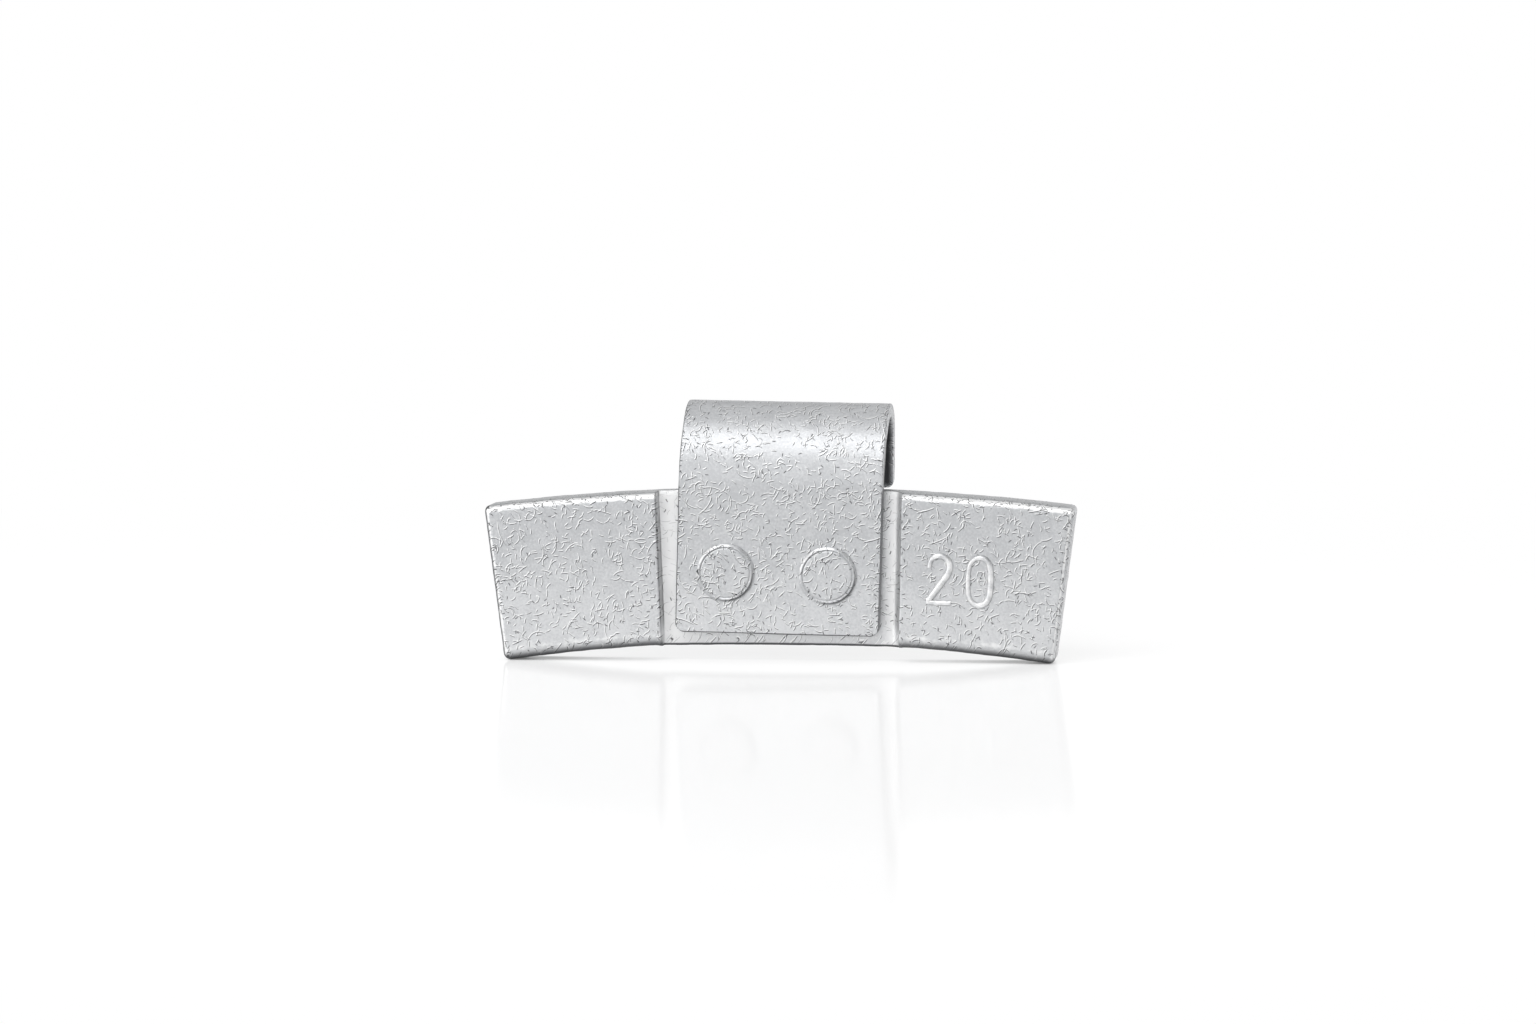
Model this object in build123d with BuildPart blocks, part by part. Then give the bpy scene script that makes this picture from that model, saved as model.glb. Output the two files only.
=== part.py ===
from build123d import *
import os
from math import asin, cos, isclose, radians, sin, tan

# Clip-on balance weight for a wheel rim: an arc-shaped steel bar and a sprung strip clip.
# Two studs half-sheared out of the bar pass through the clip and are staked over it.
# Millimetres and degrees. X runs along the bar, -Y faces away from the wheel, +Z points to the rim's edge.
# The origin is the middle of the footprint, at the height of the bar's two lower corners.

# Bar
top_radius = 223.5
underside_radius = 168.0
body_height = 13.5
half_length = 26.27
end_lean = 7.2
body_thickness = 3.4
corner_radius = 0.5
pad_edge_round = 1.0
back_edge_chamfer = 0.2

# Channel pressed into the bar's front for the clip
channel_side_gap = 1.62
channel_flare = 1.6
channel_left_foot_radius = 0.3
channel_right_foot_radius = 0.8
channel_edge_round = 0.25

# Studs
stud_spacing = 8.9
stud_row_height = 6.02
stud_shank_diameter = 4.2
stud_head_diameter = 4.8
stud_head_height = 0.3
stud_head_round = 0.2
stud_web = 0.7
stud_pocket_diameter = 4.0

# Clip
clip_width = 18.0
clip_thickness = 1.2
clip_shift = 0.15
clip_lean = 1.4
clip_hole_clearance = 0.05
clip_below_studs = 5.35
clip_corner_radius = 0.8
clip_edge_round = 0.25
bend_above_bar = 0.08
shoulder_radius = 8.5
shoulder_angle = 47.0
crown_radius = 3.7
leg_splay = 10.0
leg_length = 4.6
leg_corner_radius = 0.6

# The bar's ends lean in towards the bottom, and its rounded lower corners touch the ground plane.
# The foot angle is where a corner's rounding meets the underside, seen from the underside's centre.
foot_reach = half_length * cos(radians(end_lean)) - (body_height + underside_radius) * sin(radians(end_lean))
foot_angle = radians(end_lean) + asin((foot_reach - corner_radius) / (underside_radius + corner_radius))
underside_centre_z = corner_radius - (underside_radius + corner_radius) * cos(foot_angle)
underside_z = underside_centre_z + underside_radius
crest_z = underside_z + body_height
top_centre_z = crest_z - top_radius
stud_row_z = underside_z + stud_row_height

# The stud heads are staked flush with the pads beside the channel
channel_depth = clip_thickness + stud_head_height
channel_width = clip_width + 2 * channel_side_gap

# The strip climbs from the shoulder over the crown and down into the splayed leg
crown_angle = 180 - leg_splay - shoulder_angle
hook_depth = (
    shoulder_radius * (1 - cos(radians(shoulder_angle)))
    + crown_radius * (cos(radians(shoulder_angle)) + cos(radians(leg_splay)))
    + leg_length * sin(radians(leg_splay))
    - clip_edge_round * (sin(radians(leg_splay)) + cos(radians(leg_splay)) - 1)
)

# Depths of the main faces, with the whole part centred on Y
front_y = -(stud_head_height + hook_depth) / 2
clip_front_y = front_y + stud_head_height
channel_floor_y = front_y + channel_depth
back_y = front_y + body_thickness


def front_plane(y: float) -> Plane:
    """Plane facing the front, square to the bar, at depth y."""
    return Plane.XZ.offset(-y)


lean_right = (cos(radians(clip_lean)), 0, -sin(radians(clip_lean)))


def leaning_plane(y: float) -> Plane:
    """Plane facing the front at depth y, centred on the stud row and turned with the clip."""
    return Plane(origin=(clip_shift, y, stud_row_z), x_dir=lean_right, z_dir=(0, -1, 0))


# Bar with its channel, studs and the blind pockets behind the studs
with BuildPart() as weight_body:
    with BuildSketch(front_plane(back_y)):
        with Locations((0, crest_z)):
            end_run = 4 * body_height
            Trapezoid(2 * half_length + end_run * tan(radians(end_lean)), end_run, 90 + end_lean)
        with Locations((0, top_centre_z)):
            Circle(top_radius, mode=Mode.INTERSECT)
        with Locations((0, underside_centre_z)):
            Circle(underside_radius, mode=Mode.SUBTRACT)
    extrude(amount=body_thickness)
    front_face = weight_body.faces().filter_by(Plane.XZ).sort_by(Axis.Y)[0]
    fillet(front_face.edges().filter_by(GeomType.CIRCLE), pad_edge_round)
    end_faces = weight_body.faces().filter_by(GeomType.PLANE).sort_by(Axis.X)
    for end_face in (end_faces[0], end_faces[-1]):
        fillet(end_face.edges().sort_by(Axis.Y)[:-1], corner_radius)
    back_face = weight_body.faces().filter_by(Plane.XZ).sort_by(Axis.Y)[-1]
    chamfer(back_face.edges(), back_edge_chamfer)

    with BuildSketch(front_plane(channel_floor_y)):
        with Locations((clip_shift, underside_z + body_height / 2)):
            channel_run = 2 * body_height
            Trapezoid(channel_width + channel_run * tan(radians(channel_flare)), channel_run, 90 + channel_flare)
    extrude(amount=channel_depth, mode=Mode.SUBTRACT)

    channel_floor = weight_body.faces().filter_by(Plane.XZ).group_by(Axis.Y)[1]
    left_foot, right_foot = channel_floor.edges().filter_by(GeomType.LINE).sort_by(Axis.X)
    fillet(left_foot, channel_left_foot_radius)
    fillet(right_foot, channel_right_foot_radius)
    left_pad, right_pad = weight_body.faces().filter_by(Plane.XZ).group_by(Axis.Y)[0].sort_by(Axis.X)
    fillet([left_pad.edges().sort_by(Axis.X)[-1], right_pad.edges().sort_by(Axis.X)[0]], channel_edge_round)

    with BuildSketch(leaning_plane(channel_floor_y)):
        with GridLocations(stud_spacing, 0, 2, 1):
            Circle(stud_shank_diameter / 2)
    extrude(amount=clip_thickness)
    with BuildSketch(leaning_plane(clip_front_y)):
        with GridLocations(stud_spacing, 0, 2, 1):
            Circle(stud_head_diameter / 2)
    extrude(amount=stud_head_height)
    head_rims = weight_body.faces().filter_by(Plane.XZ).group_by(Axis.Y)[0].edges().filter_by(GeomType.CIRCLE)
    fillet(head_rims, stud_head_round)

    with BuildSketch(leaning_plane(back_y)):
        with GridLocations(stud_spacing, 0, 2, 1):
            Circle(stud_pocket_diameter / 2)
    extrude(amount=body_thickness - channel_depth - stud_web, mode=Mode.SUBTRACT)

weight_body.part.label = "weight_body"

# Strip bent from the riveted plate, over the rim's edge and down behind it
with BuildPart() as spring_clip:
    with BuildSketch(Plane(origin=(clip_shift, clip_front_y, stud_row_z), x_dir=(0, 1, 0), z_dir=lean_right)):
        with BuildLine():
            plate = Line((0, -clip_below_studs), (0, crest_z + bend_above_bar - stud_row_z))
            shoulder = JernArc(plate @ 1, plate % 1, shoulder_radius, -shoulder_angle)
            crown = JernArc(shoulder @ 1, shoulder % 1, crown_radius, -crown_angle)
            PolarLine(crown @ 1, leg_length, direction=crown % 1)
            offset(amount=clip_thickness, side=Side.RIGHT)
        make_face()
    extrude(amount=clip_width / 2, both=True)

    end_edges = spring_clip.edges().filter_by(lambda edge: isclose(edge.length, clip_thickness, rel_tol=1e-6))
    fillet(end_edges.sort_by(Axis.Z)[:2], clip_corner_radius)
    end_edges = spring_clip.edges().filter_by(lambda edge: isclose(edge.length, clip_thickness, rel_tol=1e-6))
    fillet(end_edges.sort_by(Axis.Z)[-2:], leg_corner_radius)

    with BuildSketch(leaning_plane(clip_front_y)):
        with GridLocations(stud_spacing, 0, 2, 1):
            Circle(stud_shank_diameter / 2 + clip_hole_clearance)
    extrude(amount=-clip_thickness, mode=Mode.SUBTRACT)

    plate_faces = spring_clip.faces().filter_by(Plane.XZ).sort_by(Axis.Y)
    fillet([face.edges().sort_by(Axis.Z)[0] for face in plate_faces], clip_edge_round)

spring_clip.part.label = "spring_clip"

os.makedirs("parts", exist_ok=True)
export_step(weight_body.part, "parts/weight_body.step")
export_step(spring_clip.part, "parts/spring_clip.step")
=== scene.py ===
"""Clip-on wheel balance weight: a curved bar and a bent strip clip under one silver-grey zinc coat."""

import logging
import math
from collections.abc import Iterator
from dataclasses import dataclass
from enum import Enum

import bmesh
import bpy
from bmesh.types import BMesh, BMFace, BMVert
from bpy.types import Curve, Material, Node, NodeSocket, NodeTree, Object, ShaderNodeTree
from mathutils import Matrix, Vector, noise


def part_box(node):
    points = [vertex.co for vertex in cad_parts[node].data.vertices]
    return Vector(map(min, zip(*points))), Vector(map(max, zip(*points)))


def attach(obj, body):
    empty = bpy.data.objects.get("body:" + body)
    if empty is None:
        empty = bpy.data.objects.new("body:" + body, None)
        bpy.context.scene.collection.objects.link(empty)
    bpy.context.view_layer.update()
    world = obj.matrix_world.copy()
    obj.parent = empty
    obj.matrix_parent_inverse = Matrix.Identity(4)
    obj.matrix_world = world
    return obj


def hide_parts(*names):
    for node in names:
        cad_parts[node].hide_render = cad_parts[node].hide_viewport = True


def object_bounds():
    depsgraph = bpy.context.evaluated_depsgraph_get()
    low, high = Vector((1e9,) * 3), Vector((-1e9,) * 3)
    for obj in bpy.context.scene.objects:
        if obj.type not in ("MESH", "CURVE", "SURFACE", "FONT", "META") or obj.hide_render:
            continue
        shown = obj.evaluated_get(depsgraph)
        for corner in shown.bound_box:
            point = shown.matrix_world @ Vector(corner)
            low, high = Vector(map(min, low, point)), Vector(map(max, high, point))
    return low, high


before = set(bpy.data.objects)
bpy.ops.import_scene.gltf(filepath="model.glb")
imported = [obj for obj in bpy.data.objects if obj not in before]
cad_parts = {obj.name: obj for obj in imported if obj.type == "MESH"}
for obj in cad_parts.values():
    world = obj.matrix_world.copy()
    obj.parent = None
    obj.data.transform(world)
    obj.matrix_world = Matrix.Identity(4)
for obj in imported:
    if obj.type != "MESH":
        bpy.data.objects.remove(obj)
CAD_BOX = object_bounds()
BODY_LOW, BODY_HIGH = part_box("weight_body")

log = logging.getLogger("balance_weight")

# Lengths are metres, as in the frame, written as millimetres times MM
MM = 0.001
BODY = "root"

# Mesh work
TOUCH = 1e-6 * MM
SNAP = 0.01 * MM
CORNER_STEPS = 8
RIM_STEPS = 5
SHARP_ANGLE = math.radians(38.0)
ALONG_X = Vector((1.0, 0.0, 0.0))
ALONG_Y = Vector((0.0, 1.0, 0.0))
ALONG_Z = Vector((0.0, 0.0, 1.0))

# Vertex attribute with a point's place on the flat pattern, which the coat's threads follow
FLAT = "flat"

# The flat pattern is laid on at a slant, so that no side of a piece lies edge-on to it
SLANT = 1.0

# Numbers of the Mix node's sockets in its colour form
MIX_SHARE = 0
MIX_FIRST = 6
MIX_SECOND = 7
MIX_RESULT = 2

WHITE = (1.0, 1.0, 1.0, 1.0)


class Mark(Enum):
    """Vertex attribute that the coat reads as a share from 0 to 1.

    The marks say how near an edge a point lies, how far it is rubbed bright or given a painted highlight,
    how much painted shade it gets, and how smooth the press left it, which also lightens it with a painted
    sheen.
    """

    RIM = "rim"
    WORN_AND_LIT = "worn_and_lit"
    PAINTED_SHADE = "painted_shade_share"
    SMOOTH_AND_LIT = "smooth_and_lit"


class Pen:
    """Draws an outline in the XZ plane as one chain of vertices."""

    def __init__(self, mesh: BMesh, x: float, z: float) -> None:
        """Sets the pen down on a mesh at a point."""
        self.mesh = mesh
        self.tip = mesh.verts.new((x, 0.0, z))

    def line(self, x: float, z: float) -> None:
        """Draws a straight line to a point.

        Args:
            x: end along X.
            z: end along Z.
        """
        made = bmesh.ops.extrude_vert_indiv(self.mesh, verts=[self.tip])
        self.tip = made["verts"][0]
        self.tip.co = (x, 0.0, z)

    def arc(self, x: float, z: float, turn: float, steps: int) -> None:
        """Draws an arc round a centre.

        Args:
            x: centre along X.
            z: centre along Z.
            turn: angle in radians, clockwise as seen from the front.
            steps: number of chords.
        """
        made = bmesh.ops.spin(
            self.mesh, geom=[self.tip], cent=(x, 0.0, z), axis=(0.0, 1.0, 0.0), dvec=(0.0, 0.0, 0.0),
            angle=turn, steps=steps, use_duplicate=False,
        )
        self.tip = next(item for item in made["geom_last"] if isinstance(item, BMVert))


class Marks:
    """Writes the attributes that the coat reads to the points of one mesh."""

    def __init__(self, mesh: BMesh) -> None:
        """Adds the attributes to a mesh, or finds those that it has.

        Args:
            mesh: the mesh.
        """
        numbers = mesh.verts.layers.float
        vectors = mesh.verts.layers.float_vector
        self.shares = {mark: numbers.get(mark.value) or numbers.new(mark.value) for mark in Mark}
        self.flat = vectors.get(FLAT) or vectors.new(FLAT)

    def write(self, vert: BMVert, shares: dict[Mark, float]) -> None:
        """Marks one point, where it lies now.

        Args:
            vert: the point.
            shares: the marks to set, while the others stay.
        """
        vert[self.flat] = Vector((vert.co.x + SLANT * vert.co.y, vert.co.z + SLANT * vert.co.y, 0.0))
        for mark, share in shares.items():
            vert[self.shares[mark]] = share

    def clear(self, vert: BMVert) -> None:
        """Marks one point as plain coat, where it lies now."""
        self.write(vert, dict.fromkeys(Mark, 0.0))


@dataclass(frozen=True)
class Blank:
    """Flat strip with rounded corners and rims, upright in the XZ plane, before it is bent.

    It is centred on X, stands on Z = 0, and runs back from Y = 0.
    """

    width: float
    height: float
    thickness: float
    lower_corner: float
    upper_corner: float
    front_rim: float
    back_rim: float

    def cut_out(self) -> BMesh:
        """Makes the strip as a closed mesh.

        Returns:
            The new mesh, with its rims rounded.
        """
        mesh = bmesh.new()
        outline = self.draw_outline(mesh)
        made = bmesh.ops.extrude_face_region(mesh, geom=[outline])
        moved = [item for item in made["geom"] if isinstance(item, BMVert)]
        bmesh.ops.translate(mesh, vec=(0.0, self.thickness, 0.0), verts=moved)
        bmesh.ops.recalc_face_normals(mesh, faces=mesh.faces[:])
        round_rim(mesh, 0.0, self.front_rim)
        round_rim(mesh, self.thickness, self.back_rim)
        return mesh

    def draw_outline(self, mesh: BMesh) -> BMFace:
        """Draws the strip's front as one face.

        Args:
            mesh: mesh to draw in.

        Returns:
            The face.
        """
        side = self.width / 2
        low = self.lower_corner
        top = self.height - self.upper_corner
        inner_low = side - self.lower_corner
        inner_top = side - self.upper_corner
        quarter = math.pi / 2
        pen = Pen(mesh, -side, low)
        pen.line(-side, top)
        pen.arc(-inner_top, top, quarter, CORNER_STEPS)
        pen.line(inner_top, self.height)
        pen.arc(inner_top, top, quarter, CORNER_STEPS)
        pen.line(side, low)
        pen.arc(inner_low, low, quarter, CORNER_STEPS)
        pen.line(-inner_low, 0.0)
        pen.arc(-inner_low, low, quarter, CORNER_STEPS)
        bmesh.ops.remove_doubles(mesh, verts=mesh.verts[:], dist=TOUCH)
        return bmesh.ops.contextual_create(mesh, geom=mesh.edges[:])["faces"][0]

    def edge_distance(self, x: float, z: float) -> float:
        """Gives how far a point of the strip lies inside the nearest straight edge."""
        return min(self.width / 2 - abs(x), z, self.height - z)


def round_rim(mesh: BMesh, depth: float, radius: float) -> None:
    """Rounds the closed edge loop that lies at one depth.

    Args:
        mesh: mesh to change.
        depth: the loop's place along Y.
        radius: radius of the rounding.
    """
    rim = [
        edge for edge in mesh.edges
        if all(math.isclose(vert.co.y, depth, abs_tol=TOUCH) for vert in edge.verts)
    ]
    bmesh.ops.bevel(
        mesh, geom=rim, offset=radius, offset_type="OFFSET", segments=RIM_STEPS, profile=0.5,
        affect="EDGES", clamp_overlap=False, material=-1,
    )


def slice_mesh(mesh: BMesh, point: Vector, normal: Vector) -> None:
    """Cuts a mesh's faces along a plane through a point and takes nothing away."""
    everything = mesh.verts[:] + mesh.edges[:] + mesh.faces[:]
    bmesh.ops.bisect_plane(mesh, geom=everything, dist=SNAP, plane_co=point, plane_no=normal)


def even_steps(start: float, end: float, pitch: float) -> Iterator[float]:
    """Gives even places strictly between two ends, no further apart than a pitch."""
    count = max(1, math.ceil((end - start) / pitch))
    return (start + (end - start) * index / count for index in range(1, count))


def roughen(mesh: BMesh, swell: float, grain: float) -> None:
    """Moves the skin in and out a little, as a dipped coat and a press leave it.

    Args:
        mesh: mesh to change.
        swell: the largest move.
        grain: size of the lumps.
    """
    fall = 1.0
    finer = 2.0
    octaves = 3
    mesh.normal_update()
    for vert in mesh.verts:
        vert.co += vert.normal * swell * noise.fractal(vert.co / grain, fall, finer, octaves)


def revolve(mesh: BMesh, x: float, z: float, steps: int) -> None:
    """Turns the mesh's profile once round an axis along Y.

    Args:
        mesh: mesh that holds the profile's edges.
        x: the axis's place along X.
        z: the axis's place along Z.
        steps: number of facets.
    """
    bmesh.ops.spin(
        mesh, geom=mesh.verts[:] + mesh.edges[:], cent=(x, 0.0, z), axis=(0.0, 1.0, 0.0),
        dvec=(0.0, 0.0, 0.0), angle=2 * math.pi, steps=steps, use_merge=True, use_duplicate=False,
    )
    bmesh.ops.remove_doubles(mesh, verts=mesh.verts[:], dist=SNAP)
    bmesh.ops.recalc_face_normals(mesh, faces=mesh.faces[:])


def make_piece(name: str, mesh: BMesh) -> Object:
    """Turns a finished mesh into an object at the origin.

    Args:
        name: the piece's name.
        mesh: its mesh, which is freed.

    Returns:
        The object, smooth apart from its sharp edges.
    """
    data = bpy.data.meshes.new(name)
    mesh.to_mesh(data)
    mesh.free()
    data.shade_smooth()
    data.set_sharp_from_angle(angle=SHARP_ANGLE)
    piece = bpy.data.objects.new(name, data)
    bpy.context.scene.collection.objects.link(piece)
    return piece


def carve(mesh: BMesh, tool: BMesh) -> BMesh:
    """Cuts one closed mesh from another.

    Args:
        mesh: mesh to cut, which is freed.
        tool: mesh to cut it with, which is freed.

    Returns:
        The new mesh.
    """
    work = make_piece("carved", mesh)
    cutter = make_piece("cutter", tool)
    modifier = work.modifiers.new("carving", "BOOLEAN")
    modifier.object = cutter
    modifier.operation = "DIFFERENCE"
    modifier.solver = "EXACT"
    depsgraph = bpy.context.evaluated_depsgraph_get()
    result = bmesh.new()
    result.from_object(work, depsgraph)
    for used in (work, cutter):
        data = used.data
        bpy.data.objects.remove(used)
        bpy.data.meshes.remove(data)
    return result


class SubAssembly:
    """A part of the weight that is built as one piece and then dressed."""

    def dress(self, piece: Object, material: Material, slot: str) -> None:
        """Gives the piece its finish and fixes it to the part.

        Args:
            piece: the piece.
            material: its material.
            slot: the record's material slot; not used.
        """
        piece.data.materials.clear()
        piece.data.materials.append(material)
        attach(piece, BODY)
        log.info("%s: %d faces", piece.name, len(piece.data.polygons))


@dataclass(frozen=True)
class StudRow(SubAssembly):
    """Two studs that the bar is staked through the clip with, and the pockets behind them."""

    centre_z: float = BODY_HIGH.z - 7.42 * MM
    spacing: float = 9.03 * MM
    shift: float = -0.04 * MM
    lean: float = math.radians(1.44)
    shank_radius: float = 2.1 * MM
    head_radius: float = 2.5 * MM
    head_height: float = 0.3 * MM
    pocket_radius: float = 2.0 * MM
    pocket_depth: float = 1.2 * MM
    pocket_shade: float = 0.42
    hole_clearance: float = 0.05 * MM
    facets: int = 72
    # Rings on the heads, as shares of their radius, and their painted highlight, painted shade and pits
    groove: float = 0.888
    groove_width: float = 0.03
    slope: float = 0.975
    slope_width: float = 0.08
    ledge: float = 0.858
    ledge_width: float = 0.025
    sideways_light: float = 0.9
    ring_shade: float = 0.85
    ring_highlight: float = 0.75
    groove_highlight: float = 0.35
    disc_pitting: float = 0.5
    pitted: float = 0.8
    pitted_width: float = 0.1
    # Shares of the head's radius and height, from its foot over the ring groove to its middle
    head_profile: tuple[tuple[float, float], ...] = (
        (1.03, 0.0), (1.025, 0.42), (1.005, 0.55), (0.975, 0.73), (0.945, 0.9), (0.93, 0.95), (0.915, 0.9),
        (0.895, 0.72), (0.885, 0.68), (0.872, 0.72), (0.845, 0.92), (0.82, 0.97), (0.7, 0.97), (0.34, 0.97),
        (0.0, 0.97),
    )

    def centres(self) -> list[tuple[float, float]]:
        """Lists the studs' centres.

        Returns:
            Each centre's X and Z.
        """
        reach = self.spacing / 2
        drop = reach * math.sin(self.lean)
        across = reach * math.cos(self.lean)
        return [(self.shift - across, self.centre_z + drop), (self.shift + across, self.centre_z - drop)]

    def offset(self, point: Vector) -> Vector:
        """Gives a point's step from the nearest stud's axis, as X and Z."""
        steps = [Vector((point.x - x, point.z - z)) for x, z in self.centres()]
        return min(steps, key=lambda step: step.length)

    def build(self, floor_y: float, plate_y: float, front_y: float) -> Object:
        """Makes both studs, from the channel's floor to the staked heads.

        Args:
            floor_y: depth of the channel's floor.
            plate_y: depth of the clip's front face.
            front_y: depth of the heads' faces.

        Returns:
            The studs' object.
        """
        both = bmesh.new()
        for x, z in self.centres():
            profile = bmesh.new()
            points = [(0.0, floor_y), (self.shank_radius, floor_y), (self.shank_radius, plate_y)]
            for share, rise in self.head_profile:
                points.append((self.head_radius * share, plate_y + (front_y - plate_y) * rise))
            chain = [profile.verts.new((x + radius, y, z)) for radius, y in points]
            for start, end in zip(chain, chain[1:]):
                profile.edges.new((start, end))
            revolve(profile, x, z, self.facets)
            add_mesh(both, profile)
        self.mark(both)
        return make_piece("staked_studs", both)

    def mark(self, mesh: BMesh) -> None:
        """Marks the heads' rims with a painted highlight on the upper left and painted shade on the lower
        right, and the pitted ring inside.

        Args:
            mesh: mesh of both studs.
        """
        marks = Marks(mesh)
        full_lift = math.hypot(1.0, self.sideways_light)
        for vert in mesh.verts:
            away = self.offset(vert.co)
            share = away.length / self.head_radius
            lift = (away.y - self.sideways_light * away.x) / max(away.length * full_lift, TOUCH)
            above = max(0.0, lift)
            below = max(0.0, -lift)
            outer = fading(abs(share - self.slope), self.slope_width)
            slope = max(outer, fading(abs(share - self.ledge), self.ledge_width))
            groove = fading(abs(share - self.groove), self.groove_width)
            # Painted highlight on the rim's upper left and in the groove's lower right; painted shade on the
            # rim's lower right and in the groove's upper left
            marks.write(vert, {
                Mark.RIM: max(self.disc_pitting, fading(abs(share - self.pitted), self.pitted_width)),
                Mark.WORN_AND_LIT: max(self.ring_highlight * slope * above, self.groove_highlight * groove * below),
                Mark.PAINTED_SHADE: self.ring_shade * max(slope * below, groove * above),
            })

    def drills(self, radius: float, start: float, end: float) -> BMesh:
        """Makes a cutter with one round bar for each stud.

        Args:
            radius: radius of the bars.
            start: front end along Y.
            end: back end along Y.

        Returns:
            The cutter's mesh.
        """
        both = bmesh.new()
        for x, z in self.centres():
            place = Matrix.Translation((x, (start + end) / 2, z)) @ Matrix.Rotation(math.pi / 2, 4, "X")
            bmesh.ops.create_cone(
                both, cap_ends=True, segments=self.facets, radius1=radius, radius2=radius,
                depth=end - start, matrix=place,
            )
        return both


def add_mesh(target: BMesh, extra: BMesh) -> None:
    """Adds one mesh's geometry to another and frees it.

    Args:
        target: mesh that grows.
        extra: mesh to add.
    """
    data = bpy.data.meshes.new("extra")
    extra.to_mesh(data)
    extra.free()
    target.from_mesh(data)
    bpy.data.meshes.remove(data)


def fading(distance: float, reach: float) -> float:
    """Gives 1 at no distance, falling evenly to 0 at the reach."""
    return max(0.0, 1.0 - max(0.0, distance) / reach)


def arc_point(radius: float, crest_z: float, x: float) -> Vector:
    """Gives the point of an arc at one X, as X and Z, from its radius and its highest point."""
    return Vector((x, crest_z - radius + math.sqrt(radius ** 2 - x ** 2)))


@dataclass(frozen=True)
class BarSide:
    """What differs between the bar's two sides: the channel wall's foot, and its painted highlight, painted
    shade and painted sheen.
    """

    foot_round: float
    lip_highlight: float
    end_shade: float
    sheen_inset: float
    sheen_width: float


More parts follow.
